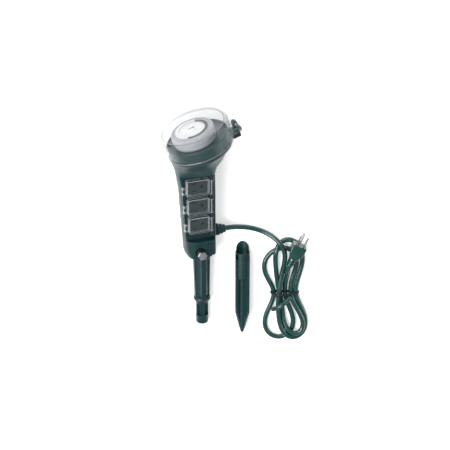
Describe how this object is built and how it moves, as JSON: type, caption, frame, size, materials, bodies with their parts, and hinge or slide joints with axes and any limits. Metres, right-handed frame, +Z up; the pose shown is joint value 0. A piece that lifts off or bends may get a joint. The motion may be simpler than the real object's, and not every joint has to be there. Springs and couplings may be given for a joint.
{
  "type": "timer power stake",
  "caption": "Outdoor power stake lying flat: slim body with covered outlets on two sides, dial timer under a clear hinged cover, loose ground spike, tied cord with plug.",
  "frame": {"origin": "middle of the stake unit and its loose spike on the table, at table level; the tied cord and its plug are left out of that middle", "axes": "+Y along the stake from its plug end to its timer head, +X across towards the spike and the tied cord, +Z up from the table"},
  "size_m": [0.2327, 0.4105, 0.1125],
  "materials": {
    "green_plastic": "moulded dark green, fine satin texture",
    "dark_green_plastic": "moulded darker green",
    "black_rubber": "matt",
    "zinc_steel": "zinc plated",
    "grey_plastic": "moulded light grey",
    "white_plastic": "smooth white",
    "black_plastic": "moulded black",
    "brass": "plain",
    "clear_plastic": "clear moulded plastic",
    "cord_green": "semi-gloss green jacket",
    "blade_steel": "nickel plated"
  },
  "bodies": {
    "stake_unit": {"right_housing": "green_plastic", "left_housing": "green_plastic", "timer_deck": "green_plastic", "deck_gasket": "black_rubber", "housing_screws": "zinc_steel", "timer_case": "grey_plastic", "timer_motor": "zinc_steel", "timer_switch": "black_plastic", "cover_hinge_pin": "zinc_steel", "right_outlet_panel": "dark_green_plastic", "left_outlet_panel": "dark_green_plastic", "right_hinge_rod": "zinc_steel", "left_hinge_rod": "zinc_steel", "bus_bars": "brass", "stake_shaft": "green_plastic", "bolt_sleeve": "black_plastic", "stake_bolt": "zinc_steel", "bolt_washer": "zinc_steel", "bolt_nut": "zinc_steel", "cord_gland": "green_plastic", "cord_clamp": "black_plastic", "cord_lead": "cord_green", "cord_hank": "cord_green", "cord_tail": "cord_green", "cord_tie": "black_plastic", "tie_strap": "cord_green", "plug_body": "cord_green", "plug_relief": "cord_green", "plug_blades": "blade_steel", "ground_pin": "blade_steel"},
    "dial": {"dial_ring": "grey_plastic", "dial_face": "white_plastic", "trippers_on": "black_plastic", "trippers_off": "white_plastic", "dial_gear": "white_plastic"},
    "pinion": {"motor_pinion": "brass"},
    "timer_cover": {"timer_cover": "clear_plastic", "cover_window": "clear_plastic"},
    "spike": {"ground_spike": "green_plastic"},
    "outlet_lid_r1": {"outlet_lid_r1": "clear_plastic"},
    "outlet_lid_r2": {"outlet_lid_r2": "clear_plastic"},
    "outlet_lid_r3": {"outlet_lid_r3": "clear_plastic"},
    "outlet_lid_l1": {"outlet_lid_l1": "clear_plastic"},
    "outlet_lid_l2": {"outlet_lid_l2": "clear_plastic"},
    "outlet_lid_l3": {"outlet_lid_l3": "clear_plastic"}
  },
  "joints": [
    {"name": "dial_turn", "type": "hinge", "parent": "stake_unit", "child": "dial", "pos_m": [-0.01137, 0.141, 0.05313], "axis": [-0.2939, 0.9302, 0.2199], "continuous": true},
    {"name": "pinion_turn", "type": "hinge", "parent": "stake_unit", "child": "pinion", "pos_m": [0.01048, 0.14933, 0.04708], "axis": [-0.2939, 0.9302, 0.2199], "continuous": true},
    {"name": "cover_open", "type": "hinge", "parent": "stake_unit", "child": "timer_cover", "pos_m": [0.04657, 0.16935, 0.03791], "axis": [-0.309, 0.1253, -0.9428], "range_deg": [0, 110]},
    {"name": "lid_r1_open", "type": "hinge", "parent": "stake_unit", "child": "outlet_lid_r1", "pos_m": [0.00908, 0.07984, 0.05845], "axis": [0, 0.9913, 0.1317], "range_deg": [0, 95]},
    {"name": "lid_r2_open", "type": "hinge", "parent": "stake_unit", "child": "outlet_lid_r2", "pos_m": [0.00908, 0.04763, 0.05417], "axis": [0, 0.9913, 0.1317], "range_deg": [0, 95]},
    {"name": "lid_r3_open", "type": "hinge", "parent": "stake_unit", "child": "outlet_lid_r3", "pos_m": [0.00908, 0.01541, 0.04989], "axis": [0, 0.9913, 0.1317], "range_deg": [0, 95]},
    {"name": "lid_l1_open", "type": "hinge", "parent": "stake_unit", "child": "outlet_lid_l1", "pos_m": [-0.00266, 0.0846, 0.02263], "axis": [0, -0.9913, -0.1317], "range_deg": [0, 95]},
    {"name": "lid_l2_open", "type": "hinge", "parent": "stake_unit", "child": "outlet_lid_l2", "pos_m": [-0.00266, 0.05239, 0.01835], "axis": [0, -0.9913, -0.1317], "range_deg": [0, 95]},
    {"name": "lid_l3_open", "type": "hinge", "parent": "stake_unit", "child": "outlet_lid_l3", "pos_m": [-0.00266, 0.02017, 0.01406], "axis": [0, -0.9913, -0.1317], "range_deg": [0, 95]},
    {"name": "spike_lift", "type": "slide", "parent": "stake_unit", "child": "spike", "axis": [0, 0, 1], "range_m": [0, 0.15]}
  ],
  "couplings": [
    {"joint": "pinion_turn", "follows": "dial_turn", "ratio": -3}
  ]
}
